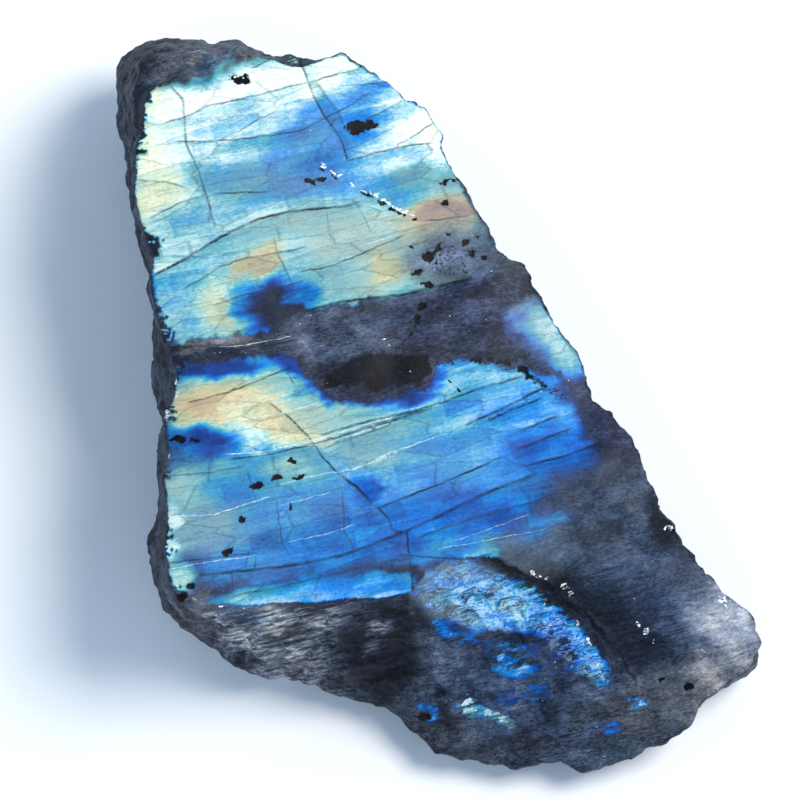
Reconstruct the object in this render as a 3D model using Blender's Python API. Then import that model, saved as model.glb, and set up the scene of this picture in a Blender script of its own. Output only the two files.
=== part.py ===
"""A rough chunk of labradorite, 88 mm long, lying on a flat break with its flashing face up.

The stone is one solid. It is set out square-on to the flashing face, which leans back a little when
the stone lies on its base: each point is (right, up, height above the base) in millimetres. The
outline ring is lofted down to the flat base, and the upper side is a skin of flat breaks between the
crest and foot lines. The skin is then divided finely and given the slight relief of broken feldspar.
"""

import math

import bmesh
import bpy
from mathutils import Matrix, Vector, geometry, noise

MM = 0.001
FACE_LEAN = math.radians(12.0)
LONG_AXIS_TURN = math.radians(-32.0)
LONGEST_EDGE = 3.4 * MM
DIVIDING_PASSES = 5

BELLY_HEIGHT = 0.5
BELLY_INSET = 0.3

FACE_LEVEL = 20.0
FACE_FALL = 0.12
FACE_DEPTH = 0.6

BREAK_RELIEF = 0.55 * MM
BREAK_GRAIN = 6.0 * MM
FACE_RELIEF = 0.07 * MM
FOOT_DEPTH = 0.01 * MM

# Widest ring of the stone, clockwise from the crusted corner: right, up, height, undercut below it.
OUTLINE = [
    (-22.9, 34.4, 9, 3), (-22.4, 36.6, 9, 3.2), (-21.1, 38.3, 9, 3.2),
    (-18.8, 39.3, 10, 3), (-15.9, 39, 10, 3), (-13.3, 38.5, 11, 3), (-11.2, 38.8, 12, 3),
    (-8.4, 37.9, 14, 3.5), (-6.3, 37.1, 17, 4), (-4.9, 37.6, 18.2, 4.5),
    (-3, 36.8, 18.6, 5), (0.2, 37.4, 18.5, 5), (2.9, 35.9, 18.3, 5), (5.6, 34.4, 18, 5.5),
    (6.4, 33.2, 17.8, 5.5), (8.8, 31.7, 17.4, 6), (10.4, 29.3, 17, 6), (10.1, 28.2, 17, 6),
    (12, 24.8, 17, 6.5), (13.2, 21.9, 17, 7), (14.7, 19.8, 17, 7.5), (16.2, 17.5, 16.6, 8),
    (18.4, 15.9, 16, 8.5), (18.9, 14.6, 16, 8.5), (20.5, 12.2, 16, 9),
    (22.3, 9.7, 15.8, 9.5), (24, 7.1, 15.6, 9.5), (25.3, 4.3, 15.4, 9.5),
    (25, 3.6, 15.4, 9.5), (27.3, 1.3, 15, 9.5), (28.9, -1.1, 14.8, 9.5),
    (30.4, -5.3, 14.2, 9.5), (33.1, -9.5, 13, 9.5), (35.3, -13, 11.8, 9),
    (37.8, -16, 10.5, 6.6), (39.9, -17.7, 9.5, 3.6), (41.8, -21.1, 8, 2.2),
    (41.6, -22.6, 7.5, 1.4), (40.6, -24, 7, 1.4), (37.6, -26, 6.4, 2.4), (35.7, -27.7, 6, 3),
    (35.5, -28.6, 5.8, 3.2), (33.4, -30.6, 5.2, 3.5), (31.2, -31.8, 4.8, 3),
    (28, -32.9, 4.4, 2.6), (25.5, -34, 4, 2.4), (22.8, -33.7, 4, 2),
    (21.6, -33.1, 4.2, 1.6), (17.7, -33.8, 4, 1.8), (14.1, -33, 4, 1.8),
    (9.5, -32.2, 4, 1.8), (7, -30.3, 4, 1.6), (5.9, -28.1, 4, 1.2), (3.4, -26.9, 4.2, 1.2),
    (-0.4, -25.9, 4.4, 1.4), (-4.6, -24.7, 4.6, 1.6), (-7.5, -24.4, 4.8, 1.8),
    (-10.9, -23, 5.2, 1.8), (-13, -21.3, 5.8, 1.8), (-15.9, -19.7, 7, 2),
    (-17.7, -17.9, 8, 2.2), (-18.7, -14.4, 8, 2.2), (-19, -11.4, 8, 2.2),
    (-17.9, -9.5, 8, 1.8), (-17.7, -6.9, 8, 1.8), (-18.1, -2.5, 8, 1.8),
    (-18, 0.7, 8, 1.8), (-18.5, 3.7, 8, 2), (-18.6, 7.8, 8, 2), (-18.6, 10.6, 8, 2),
    (-19.3, 13.5, 8, 2), (-19, 15.1, 8, 1.8), (-20.1, 18, 8, 2), (-20.6, 23.5, 8.5, 2),
    (-21.3, 26.5, 9, 2.2), (-22.2, 30.4, 9, 2.6),
]

# Crest and foot lines where one break meets the next: right, up, height.
FACE_LEFT_EDGE = [
    (-13.8, 35.1, 21.2), (-17.8, 34.1, 21.4), (-19.3, 32.9, 21.6), (-19.5, 30.1, 22.1),
    (-19.9, 27.1, 22.3), (-20.2, 24.6, 22.4), (-20.1, 22.1, 22.4), (-19.3, 19.3, 22.3),
    (-18.5, 17.5, 22.2), (-18.6, 14.9, 22.2), (-18.1, 12.1, 22.2), (-17.5, 9.6, 22),
    (-16.7, 7.6, 21.8), (-16.2, 3.9, 21.8), (-17.1, 0.6, 22.1), (-17, -1.9, 22.1),
    (-17.3, -4.9, 22.1), (-16.9, -7.4, 22.1), (-17.2, -11.4, 22), (-16.6, -14.4, 21.9),
    (-15.6, -16.6, 21.7),
]
FACE_FOOT_EDGE = [
    (-15.6, -16.6, 21.7), (-11.3, -17.4, 21.2), (-7.8, -17.2, 20.9), (-1.3, -16.8, 20.2),
    (3.2, -16.7, 19.7), (6.9, -16, 19.3),
]
LEDGE_CREST = [
    (6.9, -16, 19.3), (8.3, -13.9, 19), (11.2, -12.7, 18.6), (15.7, -12.6, 18.2),
    (18.7, -14.4, 17.3), (21.7, -16.7, 15.8), (24.7, -19.4, 13.8), (26.9, -22.4, 11.4),
    (29.3, -25.7, 8.6),
]
HOLLOW_FLOOR = [
    (17.1, -13.5, 16.4), (20.5, -15.7, 14.4), (24.3, -18.1, 12.2), (27.9, -21.7, 9.6),
    (30.5, -25.9, 7.2),
]
CLEFT = [(6.9, -16, 19.3), (6.1, -20.9, 12.2), (5.7, -25.1, 7)]
BREAK_LINES = [FACE_LEFT_EDGE, FACE_FOOT_EDGE, LEDGE_CREST, HOLLOW_FLOOR, CLEFT]

# Single points of the breaks between those lines.
CRUST_CORNER = [
    (-20.3, 36.1, 19.6), (-21, 33.1, 19.4), (-20.9, 30.3, 19.4), (-20.5, 27.3, 20.6),
    (-17.8, 38.1, 19.8), (-14.3, 37.5, 20.2), (-10.3, 37.6, 20.2), (-8.1, 36.9, 20.4),
    (-4.3, 35.9, 20.3),
]
FIBROUS_WALL = [
    (-9.3, -19.4, 16.5), (-1.8, -19.1, 15), (3.5, -18.7, 15.2), (-11.3, -21.4, 10.5),
    (-5.3, -22.1, 9.6), (0.2, -22.7, 9.4), (-16.5, -17.3, 18.5), (-14.5, -18.7, 15),
    (-13.1, -20.1, 10),
]
GREY_END = [
    (25.7, -4.9, 16.6), (21.7, -8.9, 17.2), (29.7, -8.9, 15.4), (25.7, -12.5, 14.9),
    (31.2, -15.4, 12.8), (34.7, -16.9, 11.8), (29.7, -19.1, 11.3), (35.7, -22.1, 9.6),
    (38.5, -20.1, 9.9), (34.7, -25.9, 8),
]
LOWER_LOBE = [
    (9.3, -19.1, 15.2), (9.3, -24.9, 9.2), (13.7, -19.7, 15.4), (19.7, -20.1, 14.2),
    (15.7, -25.9, 9.6), (21.7, -25.9, 9.4), (17.7, -30.4, 6.2), (22.7, -30.4, 6.2),
    (26.7, -28.4, 7.2), (30.7, -29.7, 5.8), (10.7, -29.4, 6),
]
BREAK_POINTS = CRUST_CORNER + FIBROUS_WALL + GREY_END + LOWER_LOBE


def laid_down(right, up, height):
    """A point read square-on to the leaning face, in the stone's resting frame."""
    away = (up - height * math.sin(FACE_LEAN)) / math.cos(FACE_LEAN)
    return Vector((right, away, height)) * MM


def outward(ring, index):
    """Level direction out of a clockwise ring at one of its points."""
    before = ring[index - 2]
    after = ring[(index + 2) % len(ring)]
    along = after - before
    return Vector((-along.y, along.x, 0.0)).normalized()


def sunk_ring(ring, share, inset_share):
    """The widest ring lowered to a share of its height and drawn in by a share of the undercut."""
    points = []
    for index, point in enumerate(ring):
        drawn_in = outward(ring, index) * OUTLINE[index][3] * MM * inset_share
        lowered = Vector((point.x, point.y, point.z * share))
        points.append(lowered - drawn_in)
    return points


def upper_skin(bm, rim, rim_verts):
    """Flat breaks between the outline, the break lines and the break points."""
    points = list(rim)
    edges = []
    for line in BREAK_LINES:
        first = len(points)
        points += [laid_down(*place) for place in line]
        edges += [(k, k + 1) for k in range(first, len(points) - 1)]
    points += [laid_down(*place) for place in BREAK_POINTS]
    border = list(range(len(rim)))[::-1]
    flat = [point.to_2d() for point in points]
    found = geometry.delaunay_2d_cdt(flat, edges, [border], 0, 1e-7, True)
    places, sources = found[0], found[3]
    triangles = [triangle for triangle, borders in zip(found[2], found[5]) if borders]
    verts = []
    for place, source in zip(places, sources):
        on_rim = [k for k in source if k < len(rim)]
        if on_rim:
            verts.append(rim_verts[on_rim[0]])
        else:
            verts.append(bm.verts.new((place.x, place.y, points[source[0]].z)))
    for triangle in triangles:
        bm.faces.new([verts[k] for k in triangle])


def divide(bm):
    """Halve the long edges, pass after pass, into triangles of a few square millimetres."""
    bmesh.ops.triangulate(bm, faces=bm.faces)
    for _ in range(DIVIDING_PASSES):
        long_edges = [edge for edge in bm.edges if edge.calc_length() > LONGEST_EDGE]
        bmesh.ops.subdivide_edges(bm, edges=long_edges, cuts=1)
        split = [face for face in bm.faces if len(face.verts) > 3]
        bmesh.ops.triangulate(bm, faces=split)


def flat_base(bm):
    """One flat face across the open foot of the walls."""
    bmesh.ops.contextual_create(bm, geom=[edge for edge in bm.edges if edge.is_boundary])


def roughen(bm):
    """Uneven breaks on the sides and a nearly smooth flashing face; the foot moves only level."""
    bm.normal_update()
    moves = []
    for vert in bm.verts:
        face_height = (FACE_LEVEL - FACE_FALL * vert.co.x / MM) * MM
        on_face = abs(vert.co.z - face_height) < FACE_DEPTH * MM and vert.normal.z > 0.9
        relief = FACE_RELIEF if on_face else BREAK_RELIEF
        move = vert.normal * relief * noise.fractal(vert.co / BREAK_GRAIN, 1.0, 2.0, 4)
        if vert.co.z < FOOT_DEPTH:
            move.z = 0.0
        moves.append((vert, move))
    for vert, move in moves:
        vert.co += move


def centre_on_base(bm):
    """Middle of the plan over the origin, with the base on the ground."""
    low = [min(vert.co[axis] for vert in bm.verts) for axis in range(3)]
    high = [max(vert.co[axis] for vert in bm.verts) for axis in range(3)]
    middle = Vector(((low[0] + high[0]) / 2, (low[1] + high[1]) / 2, low[2]))
    bmesh.ops.translate(bm, verts=bm.verts, vec=-middle)


def stone_material():
    """Dark grey-blue feldspar, glassy on its breaks."""
    material = bpy.data.materials.new("labradorite")
    material.use_nodes = True
    shader = material.node_tree.nodes["Principled BSDF"]
    shader.inputs["Base Color"].default_value = (0.07, 0.16, 0.28, 1.0)
    shader.inputs["Roughness"].default_value = 0.3
    shader.inputs["Metallic"].default_value = 0.0
    return material


def labradorite_chunk():
    """The whole stone as one closed body."""
    bm = bmesh.new()
    rim = [laid_down(*place[:3]) for place in OUTLINE]
    belly = sunk_ring(rim, BELLY_HEIGHT, BELLY_INSET)
    foot = sunk_ring(rim, 0.0, 1.0)
    rings = [[bm.verts.new(point) for point in ring] for ring in (rim, belly, foot)]
    count = len(rim)
    for upper, lower in zip(rings, rings[1:]):
        for k in range(count):
            following = (k + 1) % count
            bm.faces.new((upper[k], upper[following], lower[following], lower[k]))
    upper_skin(bm, rim, rings[0])
    bmesh.ops.recalc_face_normals(bm, faces=bm.faces)
    divide(bm)
    roughen(bm)
    flat_base(bm)
    bmesh.ops.recalc_face_normals(bm, faces=bm.faces)
    bmesh.ops.rotate(bm, verts=bm.verts, matrix=Matrix.Rotation(LONG_AXIS_TURN, 3, "Z"))
    centre_on_base(bm)
    mesh = bpy.data.meshes.new("labradorite_chunk")
    bm.to_mesh(mesh)
    bm.free()
    mesh.materials.append(stone_material())
    stone = bpy.data.objects.new("labradorite_chunk", mesh)
    collection = bpy.data.collections.new("rough_labradorite_chunk")
    bpy.context.scene.collection.children.link(collection)
    collection.objects.link(stone)
    return stone


for leftover in list(bpy.data.objects):
    bpy.data.objects.remove(leftover, do_unlink=True)
labradorite_chunk()
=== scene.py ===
"""Looks of a rough labradorite chunk lying on a pale table with its flashing face up."""

import math
from functools import partial

import bmesh
import bpy
import numpy as np
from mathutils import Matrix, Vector


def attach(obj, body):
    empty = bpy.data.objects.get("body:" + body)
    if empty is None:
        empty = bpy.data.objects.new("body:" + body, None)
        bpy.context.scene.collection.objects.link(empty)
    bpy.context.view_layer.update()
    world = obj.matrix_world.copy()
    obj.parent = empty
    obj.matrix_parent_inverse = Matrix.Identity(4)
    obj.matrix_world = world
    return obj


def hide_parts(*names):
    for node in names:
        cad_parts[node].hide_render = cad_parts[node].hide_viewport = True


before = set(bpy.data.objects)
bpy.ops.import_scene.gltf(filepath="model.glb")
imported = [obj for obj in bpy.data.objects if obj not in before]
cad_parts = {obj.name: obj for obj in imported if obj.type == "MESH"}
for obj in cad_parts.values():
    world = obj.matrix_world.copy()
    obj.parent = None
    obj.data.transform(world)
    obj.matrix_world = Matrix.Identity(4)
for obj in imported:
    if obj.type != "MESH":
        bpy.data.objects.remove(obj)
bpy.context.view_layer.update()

# ---------------------------------------------------------------------------------------------------
# The chunk. One piece of labradorite, a plagioclase feldspar, knocked off a larger mass and left rough.
# Its upper side is one cleavage face with the stone's flash in it, crossed by fine cracks and one dark
# band. Its other sides are uneven breaks, fibrous at the foot and crusted at the blunt corner.
# ---------------------------------------------------------------------------------------------------

# Places on the face are right and up in millimetres, read square-on to the leaning face from a point
# near its middle, and height is above the table.
MM = 0.001
FACE_LEAN = math.radians(12.0)
FACE_TURN = math.radians(32.0)
FACE_CENTRE = (-1.141, -1.266)


def face_on(points):
    """Right, up and height in millimetres, read square-on to the flashing face."""
    plan = points[:, :2] / MM + np.array(FACE_CENTRE)
    height = points[:, 2] / MM
    right = math.cos(FACE_TURN) * plan[:, 0] - math.sin(FACE_TURN) * plan[:, 1]
    away = math.sin(FACE_TURN) * plan[:, 0] + math.cos(FACE_TURN) * plan[:, 1]
    up = away * math.cos(FACE_LEAN) + height * math.sin(FACE_LEAN)
    return right, up, height


def laid_down(right, up, height):
    """Back from the square-on reading to the stone's own frame."""
    away = (up - height * math.sin(FACE_LEAN)) / math.cos(FACE_LEAN)
    x = math.cos(FACE_TURN) * right + math.sin(FACE_TURN) * away - FACE_CENTRE[0]
    y = -math.sin(FACE_TURN) * right + math.cos(FACE_TURN) * away - FACE_CENTRE[1]
    return np.stack([x, y, height], axis=1) * MM


# The size of the skin's even faces in millimetres, how often the steps between them are smoothed, and how
# near to each other two corners of the solid count as one.
SKIN_GRAIN = 0.5
SKIN_SMOOTHING = 3
MERGE_DISTANCE = 0.001 * MM


def even_skin():
    """The stone's solid as one skin of small even faces, smoothed where the steps would show."""
    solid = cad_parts["labradorite_chunk"]
    bm = bmesh.new()
    bm.from_mesh(solid.data)
    bmesh.ops.remove_doubles(bm, verts=bm.verts, dist=MERGE_DISTANCE)
    mesh = bpy.data.meshes.new("solid")
    bm.to_mesh(mesh)
    bm.free()
    lump = bpy.data.objects.new("skin", mesh)
    bpy.context.scene.collection.objects.link(lump)
    remesh = lump.modifiers.new("even faces", "REMESH")
    remesh.mode = "VOXEL"
    remesh.voxel_size = SKIN_GRAIN * MM
    fit = lump.modifiers.new("back to the solid", "SHRINKWRAP")
    fit.wrap_method = "NEAREST_SURFACEPOINT"
    fit.target = solid
    smooth = lump.modifiers.new("smooth steps", "SMOOTH")
    smooth.factor = 0.5
    smooth.iterations = SKIN_SMOOTHING
    evaluated = lump.evaluated_get(bpy.context.evaluated_depsgraph_get())
    skin = bpy.data.meshes.new_from_object(evaluated)
    bpy.data.objects.remove(lump, do_unlink=True)
    return skin


# Where the cleavage face ends at the left wall and at its foot, and the lobe below the foot.
LEFT_EDGE = [
    (-13.8, 35.1), (-17.8, 34.1), (-19.3, 32.9), (-19.5, 30.1), (-19.9, 27.1), (-20.2, 24.6),
    (-20.1, 22.1), (-19.3, 19.3), (-18.5, 17.5), (-18.6, 14.9), (-18.1, 12.1), (-17.5, 9.6),
    (-16.7, 7.6), (-16.2, 3.9), (-17.1, 0.6), (-17, -1.9), (-17.3, -4.9), (-16.9, -7.4),
    (-17.2, -11.4), (-16.6, -14.4), (-15.6, -16.6),
]
FOOT_EDGE = [
    (-19, -16.2), (-15.6, -16.6), (-11.3, -17.4), (-7.8, -17.2), (-1.3, -16.8), (3.2, -16.7),
    (6.9, -16), (8.3, -13.9), (11.2, -12.7), (15.7, -12.6), (18.7, -14.4), (21.7, -16.7),
    (24.7, -19.4), (26.9, -22.4), (29.3, -25.7), (36, -34),
]
LOWER_LOBE = [
    (6.5, -16), (8.3, -13.6), (11.2, -12.4), (15.7, -12.4), (18.9, -14), (22, -16.4),
    (25, -19), (27.5, -22.2), (30, -26), (29, -28), (22, -30), (12, -30), (7, -27), (6.3, -20),
]


def eased(value):
    """0 below 0 and 1 above 1, with a soft rise between."""
    value = np.clip(value, 0.0, 1.0)
    return value * value * (3.0 - 2.0 * value)


def along_line(right, up, line):
    """Distance to a line of points, share of the way along it, and the side on which a place lies."""
    best = np.full(len(right), 99.0)
    share = np.zeros(len(right))
    side = np.zeros(len(right))
    for k, ((x0, y0), (x1, y1)) in enumerate(zip(line, line[1:])):
        dx, dy = x1 - x0, y1 - y0
        along = np.clip(((right - x0) * dx + (up - y0) * dy) / (dx * dx + dy * dy), 0.0, 1.0)
        distance = np.hypot(right - x0 - along * dx, up - y0 - along * dy)
        closer = distance < best
        best[closer] = distance[closer]
        share[closer] = (k + along[closer]) / (len(line) - 1)
        side[closer] = np.sign(dx * (up - y0) - dy * (right - x0))[closer]
    return best, share, side


def depth_inside(right, up, border):
    """Distance inside a closed border, below zero outside it."""
    loop = border + border[:1]
    within = np.zeros(len(right), bool)
    for (x0, y0), (x1, y1) in zip(loop, loop[1:]):
        if y0 == y1:
            continue
        crosses = (y0 > up) != (y1 > up)
        within ^= crosses & (right < (x1 - x0) * (up - y0) / (y1 - y0) + x0)
    distance = along_line(right, up, loop)[0]
    return np.where(within, distance, -distance)


def from_edges(right, up):
    """Distance to the right of the face's left edge, and above its foot edge."""
    reach = right - np.interp(-up, [-y for _, y in LEFT_EDGE], [x for x, _ in LEFT_EDGE])
    above = up - np.interp(right, [x for x, _ in FOOT_EDGE], [y for _, y in FOOT_EDGE])
    return reach, above


def read_rows(points, name, width=3, kind=float):
    """One property of every point or edge of a mesh, a row for each."""
    rows = np.empty(len(points) * width, kind)
    points.foreach_get(name, rows)
    return rows.reshape(-1, width)


def divide_face(mesh):
    """Faces of the flashing side halved, so that its fine cracks keep their lines."""
    bm = bmesh.new()
    bm.from_mesh(mesh)
    centres = np.array([face.calc_center_median() for face in bm.faces])
    rises = np.array([face.normal.z for face in bm.faces])
    right, up, _ = face_on(centres)
    reach, above = from_edges(right, up)
    fine = (rises > 0.55) & (reach > -0.6) & (above > -0.4)
    fine |= (rises > 0.3) & (depth_inside(right, up, LOWER_LOBE) > -0.5)
    faces = [face for face, keep in zip(bm.faces, fine) if keep]
    edges = list({edge for face in faces for edge in face.edges})
    bmesh.ops.subdivide_edges(bm, edges=edges, cuts=1, use_grid_fill=True)
    bmesh.ops.triangulate(bm, faces=bm.faces)
    bm.to_mesh(mesh)
    bm.free()


# How far inside its edges the face is evened, in millimetres, with what strengths and how often, and where
# the ledge above the lobe runs out and is evened too.
LEVEL_MARGIN = 1.5
FACE_STEPS = 10
FACE_SMOOTHING = 120
LEDGE_END = (18.5, -12.4)


def level_face(mesh):
    """The cleavage face evened out between its edges, which keep their place."""
    lump = bpy.data.objects.new("skin", mesh)
    bpy.context.scene.collection.objects.link(lump)
    right, up, _ = face_on(read_rows(mesh.vertices, "co"))
    rise = read_rows(mesh.vertices, "normal")[:, 2]
    reach, above = from_edges(right, up)
    loose = eased(reach / LEVEL_MARGIN) * eased(above / LEVEL_MARGIN) * eased((rise - 0.8) / 0.12)
    loose = np.maximum(loose, eased(2.2 - np.hypot(right - LEDGE_END[0], up - LEDGE_END[1]) / 2.4))
    group = lump.vertex_groups.new(name="cleavage")
    for step in range(1, FACE_STEPS + 1):
        chosen = np.nonzero(np.ceil(loose * FACE_STEPS) == step)[0]
        group.add(chosen.tolist(), step / FACE_STEPS, "REPLACE")
    smooth = lump.modifiers.new("level cleavage", "SMOOTH")
    smooth.vertex_group = "cleavage"
    smooth.factor = 0.5
    smooth.iterations = FACE_SMOOTHING
    level = bpy.data.meshes.new_from_object(lump.evaluated_get(bpy.context.evaluated_depsgraph_get()))
    bpy.data.objects.remove(lump, do_unlink=True)
    return level


skin = even_skin()
divide_face(skin)
skin = level_face(skin)
count = len(skin.vertices)
places = read_rows(skin.vertices, "co")
normals = read_rows(skin.vertices, "normal")
edge_ends = read_rows(skin.edges, "vertices", 2, int)
right, up, height = face_on(places)
rise = normals[:, 2]
facing_up = rise > 0.5

# Cracks across the face. Each has its kind, width in millimetres, strength, how much brighter the face is
# painted on its left side than on its right, as light and shade of the blocks beside it, and the points it
# runs through.
CRACKS = [
    ("dark", .19, .9, .0, [(-8.9, 35.9), (-5.2, 37.6)]),
    ("dark", .23, .9, -.12, [
        (-4.3, 37.5), (-3.7, 35.9), (-3.3, 34.7), (-2.6, 33), (-1.7, 31.3), (-.6, 29.9), (.3, 28.2),
        (.7, 26.5)]),
    ("veiled", .32, .7, .1, [(-2.6, 34.7), (-.3, 31.7), (.4, 30)]),
    ("dark", .18, .8, .12, [
        (-18, 30.2), (-15.4, 31), (-12.9, 32.2), (-10.3, 32.7), (-6.9, 33.6), (-3.3, 34.5), (-.6, 35.3),
        (2, 36)]),
    ("dark", .18, .8, .1, [
        (-16.6, 28.5), (-10.9, 28.7), (-6.3, 29.3), (-4, 29.7), (-1.4, 31), (1.4, 32.5), (2.8, 33.5)]),
    ("dark", .14, .7, .06, [(-10.4, 29.3), (-8.6, 30.5), (-6.3, 31.7)]),
    ("dark", .14, .7, .06, [(-.6, 34.2), (2, 34.3), (5.1, 34.7)]),
    ("dark", .17, .7, .1, [(2.3, 30.7), (4.3, 31.7), (6.3, 32.9), (8, 32.7)]),
    ("dark", .19, .8, .12, [(5.4, 28.2), (7.4, 29.3), (9.4, 30.7)]),
    ("dark", .17, .8, .12, [(.6, 26.7), (2.8, 27.3), (5.1, 27.9), (6.8, 28.3), (9.4, 28.6)]),
    ("veiled", .26, .9, .06, [
        (-16.9, 34.2), (-15.6, 32.7), (-15.4, 30.2), (-15.2, 28.2), (-14, 25.6), (-13.4, 23.6),
        (-12.3, 19.9)]),
    ("veiled", .19, .8, .08, [(-20.2, 24.7), (-17.2, 24.5), (-15.2, 23.9)]),
    ("dark", .19, .9, .05, [(-12.6, 23.3), (-10, 23.5), (-6.9, 23.6)]),
    ("veiled", .19, .9, .08, [(-19.2, 20.7), (-15.7, 22.5), (-13.4, 23.2)]),
    ("dark", .28, 1, .12, [
        (-18.7, 15.1), (-15.6, 16.7), (-11.8, 19.1), (-8, 20.9), (-5.2, 21.6), (-2.3, 21.9), (.6, 22.2),
        (2, 22.7)]),
    ("veiled", .13, .7, 0, [(-5.2, 21.6), (-5.1, 20.4)]),
    ("veiled", .13, .6, .04, [(-1.4, 21.9), (-1.2, 20), (-.9, 18.5)]),
    ("veiled", .13, .6, .04, [(1.7, 22.2), (2.6, 20.6), (3.1, 19.4)]),
    ("dark", .17, .7, .1, [(8.3, 20.7), (10.6, 21), (13.1, 21.3)]),
    ("bright", .08, .8, 0, [(2, 18.2), (5.1, 19.2), (7.7, 19.9)]),
    ("dark", .18, .7, .05, [(-15.6, 13.8), (-11.6, 16.2), (-9.2, 17), (-6.2, 17.5), (-3.3, 18.1)]),
    ("dark", .17, .7, .05, [(-12.7, 12.2), (-9.2, 13.4), (-6.1, 14.1), (-3.4, 14.8)]),
    ("dark", .19, .8, .08, [(-4.1, 15.6), (-.6, 16.3), (2.1, 17.4), (4.2, 18.4), (6.3, 19.3)]),
    ("veiled", .19, .8, .05, [(-6.5, 19.3), (-6.3, 17.5), (-5.4, 15.8), (-4.4, 13.7)]),
    ("dark", .29, 1, .1, [(-3.4, 11.7), (.1, 12.7), (2.8, 13), (6.3, 13.4), (9.7, 14.3), (13.2, 15.1)]),
    ("veiled", .17, .6, .04, [(-19.2, 17.2), (-13, 17)]),
    ("veiled", .19, .7, 0, [(2.6, 12.9), (3.4, 11), (3.2, 9.6)]),
    ("bright", .08, .8, 0, [(-12, 8.2), (-9.2, 8.4), (-4.7, 9.3)]),
    ("dark", .23, .9, 0, [(-18, 8), (-14, 8.3), (-10.4, 7.9), (-6.6, 8.4), (-4.2, 9)]),
    ("dark", .19, .9, .06, [(-15.1, 2.7), (-11, 3.7), (-7.5, 5.1), (-4.7, 6.2)]),
    ("veiled", .19, .8, .06, [(-5.4, 5.8), (-4.4, 4.4)]),
    ("bright", .08, 1, 0, [(-10.3, 1), (-6.5, 1.5), (-2, 2.7)]),
    ("dark", .22, .9, .1, [(-7.2, 2.9), (-4.7, 1), (-3, -.7), (-1.6, -2.8), (.1, -4.5)]),
    ("bright", .10, 1, 0, [(-11.2, -2.4), (-7, -2), (-2.6, -1), (.7, 0), (5.5, 1.4)]),
    ("dark", .19, .9, .1, [(-11, -2.9), (-7, -2.4), (-2.6, -1.4), (.7, -.4), (5.5, 1), (9, 2.1)]),
    ("dark", .23, .9, .1, [
        (-1.9, -.5), (1.3, .5), (4.7, 1.3), (7.8, 2), (10.6, 2.9), (13.8, 4.1), (18, 5.3)]),
    ("bright", .08, .9, 0, [(-3.4, -1.6), (-.7, -1.1), (2.4, -.1), (4.7, .6), (7.8, 1.9)]),
    ("dark", .17, .7, .06, [(-1.8, -1.9), (1.7, -.6), (5.5, .7)]),
    ("bright", .10, 1, 0, [(3.4, -2.8), (6.1, -1.8), (8.3, -1.1), (10.5, -.3)]),
    ("bright", .08, .9, 0, [(-.4, -4.2), (1.7, -3.7), (5.6, -2.4)]),
    ("dark", .17, .6, .08, [(-17.4, -4.6), (-13, -4.2), (-9.4, -3.5)]),
    ("veiled", .17, .7, .08, [(-9.2, -3.7), (-8.1, -7.3)]),
    ("bright", .10, 1, 0, [(-17, -8.5), (-12.4, -8.3), (-9.6, -7.4), (-6.7, -6.5)]),
    ("bright", .09, 1, 0, [(-5.9, -5.3), (-1.3, -4.2), (1.6, -3.9)]),
    ("bright", .08, .9, 0, [(-5.9, -7.4), (-.6, -6)]),
    ("veiled", .19, .8, .1, [(-6.3, -6.7), (-5.6, -11.2), (-4.9, -12.3)]),
    ("veiled", .18, .8, .1, [(.1, -5.5), (.5, -10.1), (1.6, -11.9)]),
    ("dark", .32, 1, .15, [(-.2, -4.2), (1.6, -5.5), (3.3, -7.3)]),
    ("dark", .24, .9, .1, [(3.3, -7.3), (4.8, -8.7), (5.1, -9.8), (6.6, -10.1), (6.9, -13), (7.3, -16)]),
    ("dark", .32, .9, .1, [
        (-14.2, -14.2), (-8.8, -13.7), (-5.2, -13.3), (.1, -12.3), (5.1, -10.5), (10.1, -8.3), (13.7, -6.5),
        (19.1, -4.4)]),
    ("veiled", .26, .8, .05, [(-12.7, -16.6), (-6, -15.4), (-3.4, -14.8), (2, -13.5), (5.8, -12.6)]),
    ("veiled", .26, .9, .1, [(7.3, -10.7), (13, -8.7), (18.3, -7.3), (23.3, -5.5)]),
    ("dark", .22, 1, .1, [(3.7, -7.6), (9.4, -5.5), (13, -4), (16, -2.6)]),
    ("veiled", .17, .8, 0, [(17.4, -2.3), (17.8, -3.9)]),
    ("bright", .08, .7, 0, [(-5.2, -11), (-1.4, -10.2), (1.6, -9.2)]),
    ("bright", .07, .6, 0, [(10.8, -11), (14, -10), (18.7, -8.3)]),
    ("bright", .07, .6, 0, [(9.4, -11.7), (14, -10.9), (20.1, -9.8)]),
    ("bright", .09, .9, 0, [(-17, -13.6), (-11.7, -12.7), (-8.1, -12.3)]),
    ("dark", .17, .7, .05, [(-16.9, -13), (-10.6, -12.3), (-8, -12)]),
    ("dark", .25, 1, .12, [(12.1, .4), (15.6, 1.9), (20.1, 4.2)]),
    ("dark", .24, 1, .12, [(14.4, .8), (17.1, 2.1), (20, 3.2)]),
    ("dark", .24, 1, .1, [(17.5, -.2), (21.7, 1.5)]),
    ("dark", .24, 1, .1, [(17.5, -1.9), (20.3, -.8), (23, .2)]),
    ("dark", .24, 1, .1, [(18, -3.6), (22, -2.6), (26, -1.2)]),
    ("dark", .19, .8, .06, [(5.6, -12.2), (9.1, -12.5), (12.3, -12.7), (15, -12.2)]),
    ("veiled", .17, .6, .08, [(1, -8.8), (3.6, -7.9)]),
    ("dark", .17, .6, 0, [(-10.6, -13.6), (-10.4, -15.6)]),
    ("dark", .13, .6, 0, [(-8.2, -12.4), (-8.4, -14)]),
    ("bright", .08, .4, 0, [(16.2, 5.6), (13.7, 6.4)]),
]
CRACK_KINDS = ("dark", "veiled", "bright")
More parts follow.
